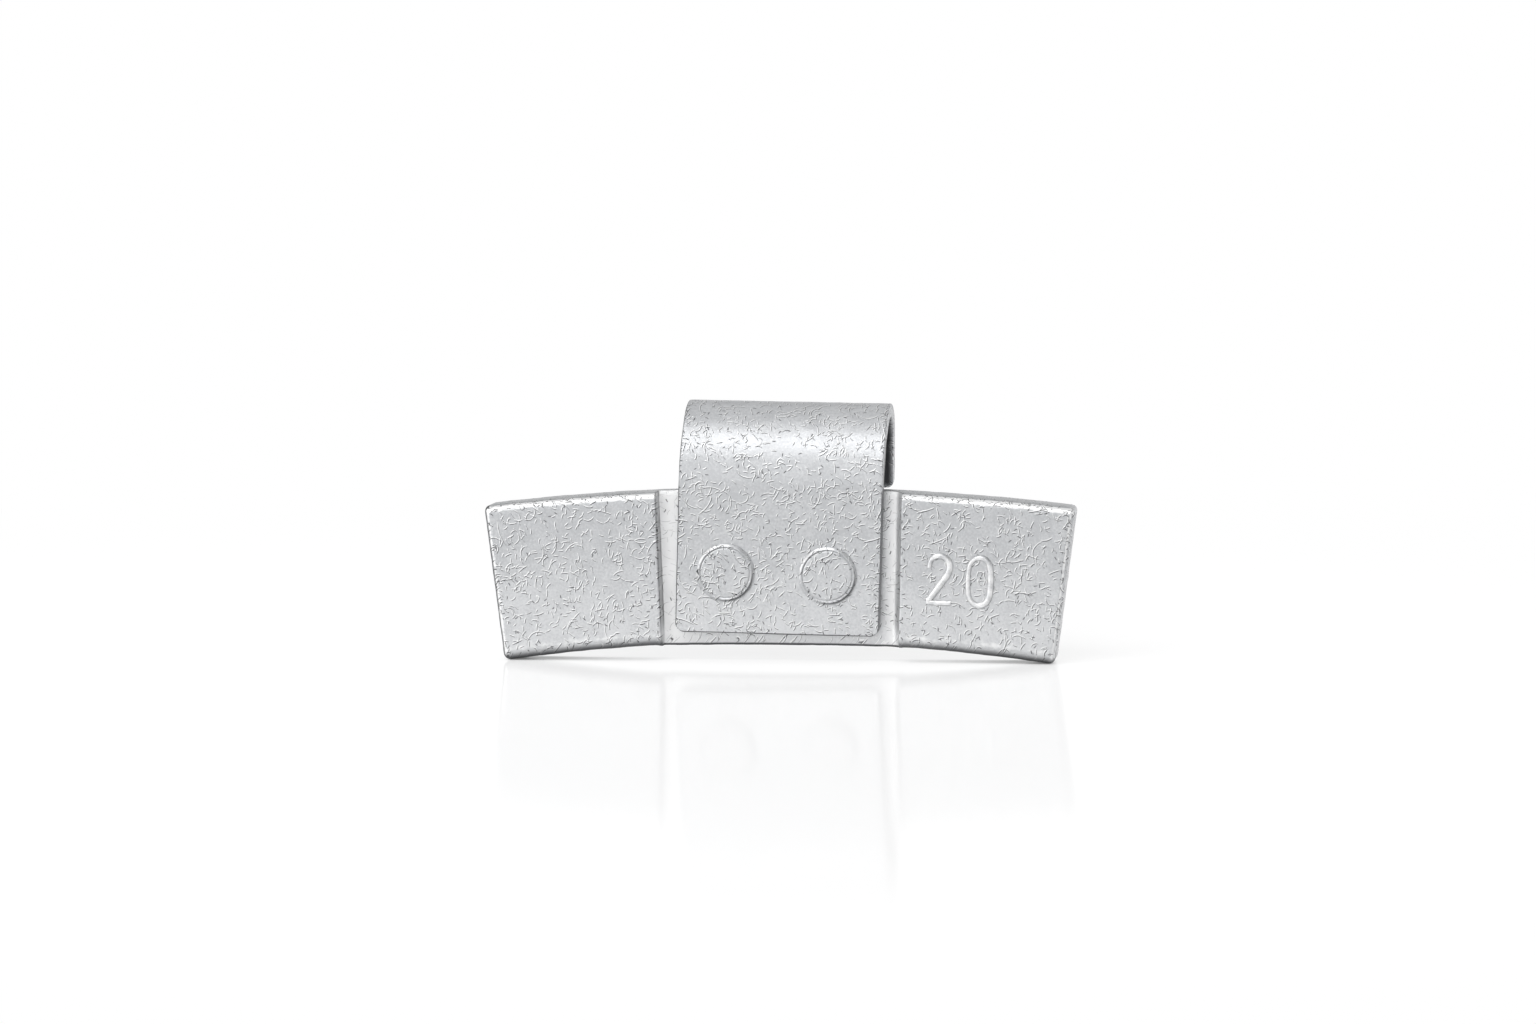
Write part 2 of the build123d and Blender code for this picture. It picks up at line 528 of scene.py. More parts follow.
@dataclass(frozen=True)
class WeightBar(SubAssembly):
    """Arc-shaped steel bar with raised end pads and a channel pressed into its front."""

    top_radius: float = 223.5 * MM
    underside_radius: float = 168.0 * MM
    height: float = 13.5 * MM
    top_half: float = 26.08 * MM
    foot_half: float = 24.34 * MM
    end_shear: float = 0.065 * MM
    upper_corner: float = 0.5 * MM
    lower_corner: float = 0.7 * MM
    end_round: float = 0.5 * MM
    top_round: float = 0.65 * MM
    low_round: float = 1.0 * MM
    back_round: float = 0.2 * MM
    # Channel
    channel_width: float = 21.3 * MM
    channel_depth: float = 1.5 * MM
    channel_flare: float = math.radians(1.6)
    channel_shift: float = 0.18 * MM
    channel_sag: float = 0.33 * MM
    sag_at_wall: float = 0.3
    sag_fade: float = 0.5 * MM
    sag_reach: float = 3.0 * MM
    lip_round: float = 0.18 * MM
    channel_rim: float = 0.15
    wall_draft: float = 0.03 * MM
    # Mesh and skin
    wall_steps: int = 6
    edge_steps: int = 12
    pitch: float = 0.25 * MM
    swell: float = 0.03 * MM
    grain: float = 1.3 * MM
    # Pits, wear, painted highlight, painted shade and painted sheen
    pit_reach: float = 1.2 * MM
    top_highlight_reach: float = 0.28 * MM
    top_highlight_fade: float = 0.45 * MM
    band_fade: float = 0.2 * MM
    low_wear: float = 0.45
    end_wear: float = 0.7
    end_wear_inset: float = 0.3 * MM
    pad_low_shade: float = 0.95 * MM
    channel_low_shade: float = 0.12 * MM
    top_shade: float = 0.3
    top_deep: float = 0.22 * MM
    far_end_shade: float = 0.12
    end_shade_start: float = 0.06 * MM
    end_shade_width: float = 0.1 * MM
    end_shade_depth: float = 1.9 * MM
    least_sheen: float = 0.2
    left: BarSide = BarSide(
        foot_round=0.18 * MM, lip_highlight=0.2, end_shade=0.8, sheen_inset=0.9 * MM, sheen_width=4.0 * MM
    )
    right: BarSide = BarSide(
        foot_round=0.8 * MM, lip_highlight=0.6, end_shade=0.12, sheen_inset=0.6 * MM, sheen_width=1.3 * MM
    )
    # Place
    front_y: float = BODY_LOW.y
    back_y: float = BODY_HIGH.y
    crest_z: float = BODY_HIGH.z

    @property
    def thickness(self) -> float:
        """Thickness of the bar at its pads."""
        return self.back_y - self.front_y

    @property
    def width(self) -> float:
        """Mean length of the bar."""
        return self.top_half + self.foot_half

    @property
    def arch_z(self) -> float:
        """Height of the underside's highest point."""
        return self.crest_z - self.height

    @property
    def floor_y(self) -> float:
        """Depth of the channel's floor."""
        return self.front_y + self.channel_depth

    @property
    def blank(self) -> Blank:
        """The bar before it is bent to its arc.

        Returns:
            The straight bar.
        """
        return Blank(
            width=self.width,
            height=self.height,
            thickness=self.thickness,
            lower_corner=self.lower_corner,
            upper_corner=self.upper_corner,
            front_rim=self.end_round,
            back_rim=self.back_round,
        )

    def build(self, studs: StudRow) -> Object:
        """Makes the bar.

        Args:
            studs: the stud row, which leaves pockets in the bar's back.

        Returns:
            The bar's object.
        """
        mesh = self.blank.cut_out()
        slice_mesh(mesh, self.end_shade_depth * ALONG_Y, ALONG_Y)
        for x, lean in self.column_cuts():
            upright = Vector((math.cos(lean), 0.0, -math.sin(lean)))
            slice_mesh(mesh, Vector((x, 0.0, self.height / 2)), upright)
        for z in self.row_cuts():
            slice_mesh(mesh, z * ALONG_Z, ALONG_Z)
        self.round_edges(mesh)
        marks = Marks(mesh)
        for vert in mesh.verts:
            flat = vert.co.copy()
            vert.co = self.bent(flat)
            self.mark(marks, vert, flat)
        self.press_channel(mesh)
        roughen(mesh, self.swell, self.grain)
        return make_piece("weight_bar", self.cut_pockets(mesh, studs))

    def cut_pockets(self, mesh: BMesh, studs: StudRow) -> BMesh:
        """Cuts the pockets behind the studs, with painted shade on their floors.

        Args:
            mesh: the pressed bar, which is freed.
            studs: the stud row.

        Returns:
            The new mesh.
        """
        floor = self.back_y - studs.pocket_depth
        beyond = self.back_y + studs.pocket_depth
        mesh = carve(mesh, studs.drills(studs.pocket_radius, floor, beyond))
        marks = Marks(mesh)
        for vert in mesh.verts:
            if vert.co.y > floor - SNAP and studs.offset(vert.co).length < studs.pocket_radius + SNAP:
                marks.clear(vert)
                # Painted shade on the pocket floors
                if vert.co.y < floor + SNAP:
                    marks.write(vert, {Mark.PAINTED_SHADE: studs.pocket_shade})
        return mesh

    def round_edges(self, mesh: BMesh) -> None:
        """Rounds the blank's front more at its top and bottom edges than at its ends.

        Args:
            mesh: the straight blank.
        """
        for vert in mesh.verts:
            for radius, inset in ((self.top_round, self.height - vert.co.z), (self.low_round, vert.co.z)):
                if vert.co.y < radius and inset < radius:
                    level = max(0.0, radius ** 2 - (radius - inset) ** 2)
                    vert.co.y = max(vert.co.y, radius - math.sqrt(level))

    def bent(self, point: Vector) -> Vector:
        """Gives where a point of the straight blank lies once the bar is bent.

        Args:
            point: a point of the blank.

        Returns:
            The point on the bar.
        """
        along = 2 * point.x / self.width
        foot = arc_point(self.underside_radius, self.arch_z, along * self.foot_half - self.end_shear)
        top = arc_point(self.top_radius, self.crest_z, along * self.top_half + self.end_shear)
        place = foot.lerp(top, point.z / self.height)
        return Vector((place.x, self.front_y + point.y, place.y))

    def wall_x(self, z: float) -> float:
        """Gives the channel wall's distance from the channel's middle at one height."""
        middle_z = self.crest_z - self.height / 2
        return self.channel_width / 2 + (z - middle_z) * math.tan(self.channel_flare)

    def column_cuts(self) -> list[tuple[float, float]]:
        """Lists the upright cuts through the blank, close together at the channel's walls.

        Returns:
            Each cut's place along X at mid height, and its lean.
        """
        half_width = self.width / 2
        half_draft = self.wall_draft / 2
        cuts = [(0.0, 0.0)]
        for side, foot in ((-1.0, self.left.foot_round), (1.0, self.right.foot_round)):
            ends = []
            for half, z, shear in (
                (self.foot_half, self.arch_z, -self.end_shear),
                (self.top_half, self.crest_z, self.end_shear),
            ):
                ends.append((self.wall_x(z) + side * (self.channel_shift - shear)) / half * half_width)
            wall = sum(ends) / 2
            wall_lean = math.atan((ends[1] - ends[0]) / self.height)
            offsets = []
            for step in range(self.wall_steps + 1):
                turn = math.pi / 2 * step / self.wall_steps
                offsets.append(half_draft + self.lip_round * (1 - math.sin(turn)))
                offsets.append(-half_draft - foot * (1 - math.cos(turn)))
            wall_band = [wall + offset for offset in sorted(offsets)]
            for x in even_steps(0.0, wall_band[0], self.pitch):
                cuts.append((side * x, side * wall_lean * x / wall))
            cuts += [(side * x, side * wall_lean) for x in wall_band]
            for x in even_steps(wall_band[-1], half_width, self.pitch):
                cuts.append((side * x, side * wall_lean * (half_width - x) / (half_width - wall)))
        return cuts

    def row_cuts(self) -> list[float]:
        """Lists the level cuts through the blank, close together at its rounded edges.

        Returns:
            Each cut's height.
        """
        turns = [math.pi / 2 * step / self.edge_steps for step in range(1, self.edge_steps + 1)]
        low = [self.low_round * (1 - math.cos(turn)) for turn in turns]
        top = [self.height - self.top_round * (1 - math.cos(turn)) for turn in turns]
        middle = even_steps(self.low_round, self.height - self.top_round, self.pitch)
        return low + list(middle) + top

    def channel_fall(self, inside: float, foot: float) -> float:
        """Gives how far the front lies behind the pads.

        Args:
            inside: distance from the channel's wall, less than zero on the channel's side.
            foot: radius of the rounding at the wall's foot.

        Returns:
            The depth below the pads.
        """
        lip = self.lip_round
        half_draft = self.wall_draft / 2
        wall_end = self.channel_depth - foot
        if inside >= half_draft + lip:
            return 0.0
        if inside >= half_draft:
            return lip - math.sqrt(max(0.0, lip ** 2 - (lip + half_draft - inside) ** 2))
        if inside > -half_draft:
            share = (half_draft - inside) / self.wall_draft
            return lip + (wall_end - lip) * share
        if inside > -half_draft - foot:
            return wall_end + math.sqrt(max(0.0, foot ** 2 - (foot + half_draft + inside) ** 2))
        return self.channel_depth

    def press_channel(self, mesh: BMesh) -> None:
        """Presses the channel into the bar's front, which makes the underside sag there.

        Args:
            mesh: the bent bar.
        """
        for vert in mesh.verts:
            across = vert.co.x - self.channel_shift
            reach = self.wall_x(vert.co.z)
            rim = vert.co.y - self.front_y
            if rim < self.low_round + TOUCH:
                side = self.left if across < 0.0 else self.right
                fall = self.channel_fall(abs(across) - reach, side.foot_round)
                kept = 1.0 - (1.0 - self.channel_rim) * fall / self.channel_depth
                vert.co.y = self.front_y + fall + rim * kept
            hollow = 1.0 - (1.0 - self.sag_at_wall) * min(1.0, abs(across) / reach) ** 2
            hollow *= fading(abs(across) - reach, self.sag_fade)
            underside = arc_point(self.underside_radius, self.arch_z, vert.co.x)
            vert.co.z -= self.channel_sag * hollow * fading(vert.co.z - underside.y, self.sag_reach)

    def mark(self, marks: Marks, vert: BMVert, flat: Vector) -> None:
        """Marks one point of the bent bar, before its channel is pressed.

        Args:
            marks: the bar's marks.
            vert: the point.
            flat: its place on the straight blank.
        """
        end = self.width / 2 - abs(flat.x)
        top = self.height - flat.z
        across = vert.co.x - self.channel_shift
        wall = abs(across) - self.wall_x(vert.co.z)
        side = self.left if across < 0.0 else self.right
        # Painted shade on the top face behind the front rounding, and on the ends' roundings, darkest at the
        # left end's front
        deep = 1.0 - fading(flat.y - self.top_deep, self.band_fade)
        painted_shade = self.top_shade * deep if top < self.top_round else 0.0
        if end < self.end_round:
            painted_shade = side.end_shade if flat.y < self.end_shade_depth - TOUCH else self.far_end_shade
            painted_shade *= 1.0 - fading(flat.y - self.end_shade_start, self.end_shade_width)
        if flat.y > self.thickness / 2:
            marks.write(vert, {Mark.PAINTED_SHADE: painted_shade})
        elif wall < 0.0:
            # Painted sheen that lightens the channel floor, and painted shade along its bottom edge
            sheen = max(self.least_sheen, fading(abs(wall + side.sheen_inset), side.sheen_width))
            low_shade = fading(flat.z - self.channel_low_shade, self.channel_low_shade)
            marks.write(vert, {Mark.SMOOTH_AND_LIT: sheen, Mark.PAINTED_SHADE: max(low_shade, painted_shade)})
        else:
            # Painted highlight along the top band and the channel's lips; lighter bands along the lower
            # rounding and near the ends
            worn_and_lit = max(
                fading(top - self.top_highlight_reach, self.top_highlight_fade) * (1.0 - deep),
                side.lip_highlight * fading(wall, self.lip_round),
                self.low_wear * fading(abs(flat.z - self.low_round), self.low_round),
                self.end_wear * fading(abs(end - self.end_wear_inset), self.band_fade),
            )
            rim = fading(min(end, wall, flat.z, top), self.pit_reach)
            # Painted shade darkening the pads towards their bottom edge
            low_shade = fading(flat.z, self.pad_low_shade)
            marks.write(vert, {Mark.RIM: rim, Mark.WORN_AND_LIT: worn_and_lit, Mark.PAINTED_SHADE: max(low_shade, painted_shade)})


@dataclass(frozen=True)
class StripClip(SubAssembly):
    """Spring steel strip, flat where it is staked to the bar and curled over into a back leg."""

    width: float = 18.0 * MM
    thickness: float = 1.2 * MM
    lean: float = math.radians(1.12)
    skew: float = math.radians(0.96)
    shift: float = 0.085 * MM
    below_studs: float = 5.31 * MM
    plate_corner: float = 0.8 * MM
    leg_corner: float = 0.6 * MM
    edge_round: float = 0.12 * MM
    bend_above_bar: float = 0.1 * MM
    shoulder_radius: float = 8.5 * MM
    shoulder_angle: float = math.radians(47.0)
    crown_radius: float = 3.7 * MM
    leg_splay: float = math.radians(10.0)
    leg_length: float = 4.6 * MM
    # Mesh and skin
    pitch: float = 0.25 * MM
    swell: float = 0.02 * MM
    grain: float = 1.5 * MM
    # Pits, painted shade inside the hook and on its side, and painted shadow lines along the edges
    pit_reach: float = 0.9 * MM
    hook_shade: float = 0.97
    hook_unshaded_edge: float = 0.2 * MM
    hook_shade_width: float = 0.1 * MM
    side_shade_depth: float = 0.34 * MM
    side_shade_reach: float = 4.5 * MM
    side_shade_fade: float = 2.0 * MM
    line_width: float = 0.008 * MM
    left_line: float = 0.85
    right_line: float = 0.6
    low_line: float = 1.0
    curl_line: float = 0.6

    @property
    def plate_length(self) -> float:
        """Length of the flat plate, up to the first bend."""
        return self.below_studs + BODY_HIGH.z + self.bend_above_bar - StudRow().centre_z

    @property
    def shoulder_length(self) -> float:
        """Length of the shoulder along its outside."""
        return self.shoulder_radius * self.shoulder_angle

    @property
    def crown_angle(self) -> float:
        """Angle that the crown turns through."""
        return math.pi - self.leg_splay - self.shoulder_angle

    @property
    def crown_length(self) -> float:
        """Length of the crown along its outside."""
        return self.crown_radius * self.crown_angle

    @property
    def blank(self) -> Blank:
        """The strip before it is bent.

        Returns:
            The flat strip.
        """
        return Blank(
            width=self.width,
            height=self.plate_length + self.shoulder_length + self.crown_length + self.leg_length,
            thickness=self.thickness,
            lower_corner=self.plate_corner,
            upper_corner=self.leg_corner,
            front_rim=self.edge_round,
            back_rim=self.edge_round,
        )

    def build(self, studs: StudRow, plate_y: float) -> Object:
        """Makes the clip.

        Args:
            studs: the stud row that passes through the clip.
            plate_y: depth of the plate's front face.

        Returns:
            The clip's object.
        """
        blank = self.blank
        mesh = blank.cut_out()
        for x in even_steps(-self.width / 2, self.width / 2, self.pitch):
            slice_mesh(mesh, x * ALONG_X, ALONG_X)
        for z in even_steps(0.0, blank.height, self.pitch):
            slice_mesh(mesh, z * ALONG_Z, ALONG_Z)
        marks = Marks(mesh)
        for vert in mesh.verts:
            inset = blank.edge_distance(vert.co.x, vert.co.z)
            painted_shade = self.painted_shade(vert.co, inset)
            marks.write(vert, {Mark.RIM: fading(inset, self.pit_reach), Mark.PAINTED_SHADE: painted_shade})
            vert.co = self.bent(vert.co)
        leaning = Matrix.Rotation(self.lean, 4, "Y")
        skewed = Matrix.Shear("XY", 4, (math.tan(self.skew), 0.0))
        place = Matrix.Translation((self.shift, plate_y, studs.centre_z)) @ skewed @ leaning
        bmesh.ops.transform(mesh, matrix=place, verts=mesh.verts[:])
        roughen(mesh, self.swell, self.grain)
        hole_radius = studs.shank_radius + studs.hole_clearance
        hole_back = plate_y + 2 * self.thickness
        mesh = carve(mesh, studs.drills(hole_radius, plate_y - self.thickness, hole_back))
        return make_piece("strip_clip", mesh)

    def painted_shade(self, flat: Vector, inset: float) -> float:
        """Gives the painted shade at a point of the flat strip, along its edges and inside the hook.

        Args:
            flat: the point.
            inset: its distance from the nearest edge.

        Returns:
            The painted shade from 0 to 1.
        """
        curled = flat.z > self.plate_length
        # Painted shade on the hook's inner face, leaving a band along its edges unshaded
        if curled and flat.y > self.thickness - TOUCH:
            return self.hook_shade * (1.0 - fading(inset - self.hook_unshaded_edge, self.hook_shade_width))
        if inset > self.edge_round:
            return 0.0
        # Painted shade on the inner part of the curl's right side face
        if curled and flat.x > 0.0:
            inner = 1.0 - fading(flat.y, self.side_shade_depth)
            return inner * fading(flat.z - self.plate_length - self.side_shade_reach, self.side_shade_fade)
        # Painted shadow lines on the rounded edges
        line = 1.0 - fading(flat.y, self.line_width)
        if curled:
            return self.curl_line * line
        if abs(flat.x) < self.width / 2 - self.edge_round:
            return self.low_line * line
        return line * (self.left_line if flat.x < 0.0 else self.right_line)

    def bent(self, point: Vector) -> Vector:
        """Gives where a point of the flat strip lies once it is bent.

        Args:
            point: a point of the blank.

        Returns:
            The point, with Y from the plate's front and Z from the stud row.
        """
        along = point.z - self.plate_length
        base = self.plate_length - self.below_studs
        if along <= 0.0:
            return Vector((point.x, point.y, base + along))
        shoulder_centre = Vector((self.shoulder_radius, base))
        if along <= self.shoulder_length:
            turn = along / self.shoulder_radius
            bend = shoulder_centre + (self.shoulder_radius - point.y) * outward(turn)
            return Vector((point.x, bend.x, bend.y))
        along -= self.shoulder_length
        spare = self.shoulder_radius - self.crown_radius
        crown_centre = shoulder_centre + spare * outward(self.shoulder_angle)
        turn = self.shoulder_angle + min(along, self.crown_length) / self.crown_radius
        bend = crown_centre + (self.crown_radius - point.y) * outward(turn)
        if along > self.crown_length:
            bend += (along - self.crown_length) * Vector((math.sin(turn), math.cos(turn)))
        return Vector((point.x, bend.x, bend.y))


def outward(turn: float) -> Vector:
    """Gives the strip's outward direction, as Y and Z, once it has turned back by an angle."""
    return Vector((-math.cos(turn), math.sin(turn)))


# Place along the digit, height and breadth of a stroke
StrokePoint = tuple[float, float, float]


@dataclass(frozen=True)
class RatingNumber(SubAssembly):
    """The plain number on the right pad, as raised rounded strokes."""

    left: float = 13.0 * MM
    base_z: float = 5.17 * MM
    tilt: float = math.radians(2.2)
    digit_step: float = 3.6 * MM
    stroke_radius: float = 0.24 * MM
    rise: float = 0.24 * MM
    sink: float = 0.04 * MM
    wear_and_light: float = 0.5
    foot_shade: float = 0.7
    foot_height: float = 0.08 * MM
    round_steps: int = 5
    curve_order: int = 3
    curve_steps: int = 8
    two_strokes: tuple[StrokePoint, ...] = (
        (0.3, 3.3, 0.8), (0.33, 3.75, 0.9), (0.6, 4.25, 1.0), (1.2, 4.42, 1.1), (1.85, 4.2, 1.2),
        (2.12, 3.55, 1.3), (2.02, 3.0, 1.35), (1.72, 2.5, 1.4), (1.22, 1.8, 1.4), (0.75, 1.1, 1.4),
        (0.25, 0.42, 1.2),
    )
    two_foot: tuple[StrokePoint, ...] = (
        (0.16, 0.3, 1.0), (0.9, 0.26, 1.0), (1.6, 0.28, 1.0), (2.28, 0.3, 1.0),
    )
    nought: tuple[StrokePoint, ...] = (
        (0.75, 4.36, 0.9), (1.5, 4.36, 1.1), (2.02, 3.75, 1.2), (2.1, 2.3, 1.25), (2.02, 0.85, 1.3),
        (1.5, 0.2, 1.3), (0.75, 0.2, 1.0), (0.16, 0.85, 0.95), (0.08, 2.3, 0.95), (0.16, 3.75, 0.9),
    )

    def build(self, pad_y: float) -> Object:
        """Makes the number.

        Args:
            pad_y: depth of the pad's face.

        Returns:
            The number's object.
        """
        curve = bpy.data.curves.new("number_strokes", "CURVE")
        curve.dimensions = "3D"
        curve.bevel_depth = self.stroke_radius
        curve.bevel_resolution = self.round_steps
        curve.use_fill_caps = True
        self.add_stroke(curve, self.two_strokes, 0.0, False)
        self.add_stroke(curve, self.two_foot, 0.0, False)
        self.add_stroke(curve, self.nought, self.digit_step, True)
        drawing = bpy.data.objects.new("number_strokes", curve)
        mesh = bmesh.new()
        data = bpy.data.meshes.new_from_object(drawing)
        mesh.from_mesh(data)
        bpy.data.meshes.remove(data)
        bpy.data.objects.remove(drawing)
        bpy.data.curves.remove(curve)
        bmesh.ops.remove_doubles(mesh, verts=mesh.verts[:], dist=TOUCH)
        flatten = Matrix.Diagonal((1.0, self.rise / self.stroke_radius, 1.0, 1.0))
        place = Matrix.Translation((self.left, pad_y + self.sink, self.base_z))
        turn = Matrix.Rotation(self.tilt, 4, "Y")
        bmesh.ops.transform(mesh, matrix=place @ turn @ flatten, verts=mesh.verts[:])
        bmesh.ops.recalc_face_normals(mesh, faces=mesh.faces[:])
        marks = Marks(mesh)
        for vert in mesh.verts:
            # Painted shade at the foot of the strokes
            painted_shade = self.foot_shade * fading(pad_y - vert.co.y, self.foot_height)
            marks.write(vert, {Mark.WORN_AND_LIT: self.wear_and_light, Mark.PAINTED_SHADE: painted_shade})
        return make_piece("rating_number", mesh)

    def add_stroke(
        self, curve: Curve, points: tuple[StrokePoint, ...], shift: float, closed: bool
    ) -> None:
        """Adds one stroke to the drawing.

        Args:
            curve: the drawing.
            points: the stroke's points in millimetres, from the digit's lower left, each with its breadth.
            shift: the digit's place along the number.
            closed: whether the stroke ends where it starts.
        """
        spline = curve.splines.new("NURBS")
        spline.points.add(len(points) - 1)
        for point, (x, z, breadth) in zip(spline.points, points):
            point.co = (shift + x * MM, 0.0, z * MM, 1.0)
            point.radius = breadth
        spline.use_cyclic_u = closed
        spline.use_endpoint_u = not closed
        spline.order_u = self.curve_order
        spline.resolution_u = self.curve_steps


Value = float | tuple[float, ...] | NodeSocket


@dataclass(frozen=True)
class Ramp:
    """Smooth step from a start to an end, while what it reads goes from low to high."""

    low: float
    high: float
    start: float = 0.0
    end: float = 1.0


@dataclass(frozen=True)
class Cloud:
    """Soft random pattern, with its scale in waves to a millimetre and its shift in millimetres."""

    scale: float
    detail: float
    shift: tuple[float, float, float] = (0.0, 0.0, 0.0)


class Board:
    """Places and links the nodes of one shader node tree."""

    def __init__(self, tree: NodeTree) -> None:
        """Starts with an empty tree."""
        self.tree = tree
        tree.nodes.clear()

    def node(self, kind: str, inputs: dict[str | int, Value] | None = None, **settings: object) -> Node:
        """Places a node.

        Args:
            kind: the node's type.
            inputs: socket name or number to its value, or to the socket that feeds it.
            settings: the node's own settings.

        Returns:
            The node.
        """
        made = self.tree.nodes.new(kind)
        for name, value in settings.items():
            setattr(made, name, value)
        for name, value in (inputs or {}).items():
            if isinstance(value, NodeSocket):
                self.tree.links.new(value, made.inputs[name])
            else:
                made.inputs[name].default_value = value
        return made

    def math(self, operation: str, first: Value, second: Value = 0.0, clamp: bool = False) -> NodeSocket:
        """Reckons with two values or sockets, and keeps the result between 0 and 1 where asked."""
        made = self.node("ShaderNodeMath", {0: first, 1: second}, operation=operation, use_clamp=clamp)
        return made.outputs[0]

    def ramp(self, value: NodeSocket, ramp: Ramp) -> NodeSocket:
        """Maps a socket through a ramp.

        Args:
            value: the socket.
            ramp: the ramp.

        Returns:
            The result's socket.
        """
        ends = {"From Min": ramp.low, "From Max": ramp.high, "To Min": ramp.start, "To Max": ramp.end}
        made = self.node("ShaderNodeMapRange", {"Value": value, **ends}, interpolation_type="SMOOTHSTEP")
        return made.outputs["Result"]

    def blend(self, share: Value, first: Value, second: Value) -> NodeSocket:
        """Mixes two colours by the share of the second."""
        colours = {MIX_SHARE: share, MIX_FIRST: first, MIX_SECOND: second}
        return self.node("ShaderNodeMix", colours, data_type="RGBA").outputs[MIX_RESULT]

    def shifted(self, place: NodeSocket, step: tuple[float, float, float]) -> NodeSocket:
        """Moves a pattern by a step in millimetres."""
        sockets = {0: place, 1: tuple(part * MM for part in step)}
        return self.node("ShaderNodeVectorMath", sockets, operation="ADD").outputs[0]

    def cloud(self, place: NodeSocket, cloud: Cloud) -> NodeSocket:
        """Draws a random pattern.

        Args:
            place: the coordinates' socket.
            cloud: the pattern.

        Returns:
            The pattern's socket, about 0.5 in the middle.
        """
        moved = self.shifted(place, cloud.shift)
        sockets = {"Vector": moved, "Scale": cloud.scale / MM, "Detail": cloud.detail}
        return self.node("ShaderNodeTexNoise", sockets).outputs[0]


@dataclass(frozen=True)
class Thread:
    """One layer of short curled threads in the coat, at most one to a cell, in millimetres."""

    spacing: float
    reach: float
    width: float
    share: float
    shift: float
    tightest: float = 0.4
    taper: float = 0.5

    def ridge(self, board: Board, place: NodeSocket, more: NodeSocket) -> NodeSocket:
        """Draws the layer's threads.

        Args:
            board: the node tree's board.
            place: the flat pattern's socket.
            more: what is added to the share of the cells that hold a thread.

        Returns:
            The threads' socket, 1 along their middle.
        """
        moved = board.shifted(place, (self.shift, self.shift, 0.0))
        sockets = {"Vector": moved, "Scale": 1.0 / (self.spacing * MM)}
        cells = board.node("ShaderNodeTexVoronoi", sockets, voronoi_dimensions="2D").outputs
        pick = board.node("ShaderNodeSeparateColor", {0: cells["Color"]}).outputs
        away = board.node("ShaderNodeVectorMath", {0: moved, 1: cells["Position"]}, operation="SUBTRACT")
        sockets = {"Vector": away.outputs[0], "Angle": board.math("MULTIPLY", pick[0], 2 * math.pi)}
        turned = board.node("ShaderNodeVectorRotate", sockets, rotation_type="Z_AXIS")
        along, across, _ = board.node("ShaderNodeSeparateXYZ", {0: turned.outputs[0]}).outputs
        bend = 1.0 / (2 * self.tightest * MM)
        square = board.math("MULTIPLY", along, along)
        curl = board.math("MULTIPLY", square, board.ramp(pick[1], Ramp(0.0, 1.0, -bend, bend)))
        off_line = board.math("ABSOLUTE", board.math("ADD", across, curl))
        line = board.ramp(off_line, Ramp(0.0, self.width * MM, 1.0, 0.0))
        untapered = self.taper * self.reach * MM
        ends = board.ramp(board.math("ABSOLUTE", along), Ramp(untapered, self.reach * MM, 1.0, 0.0))
        chosen = board.math("LESS_THAN", pick[2], board.math("ADD", more, self.share))
        return board.math("MULTIPLY", board.math("MULTIPLY", line, ends), chosen)


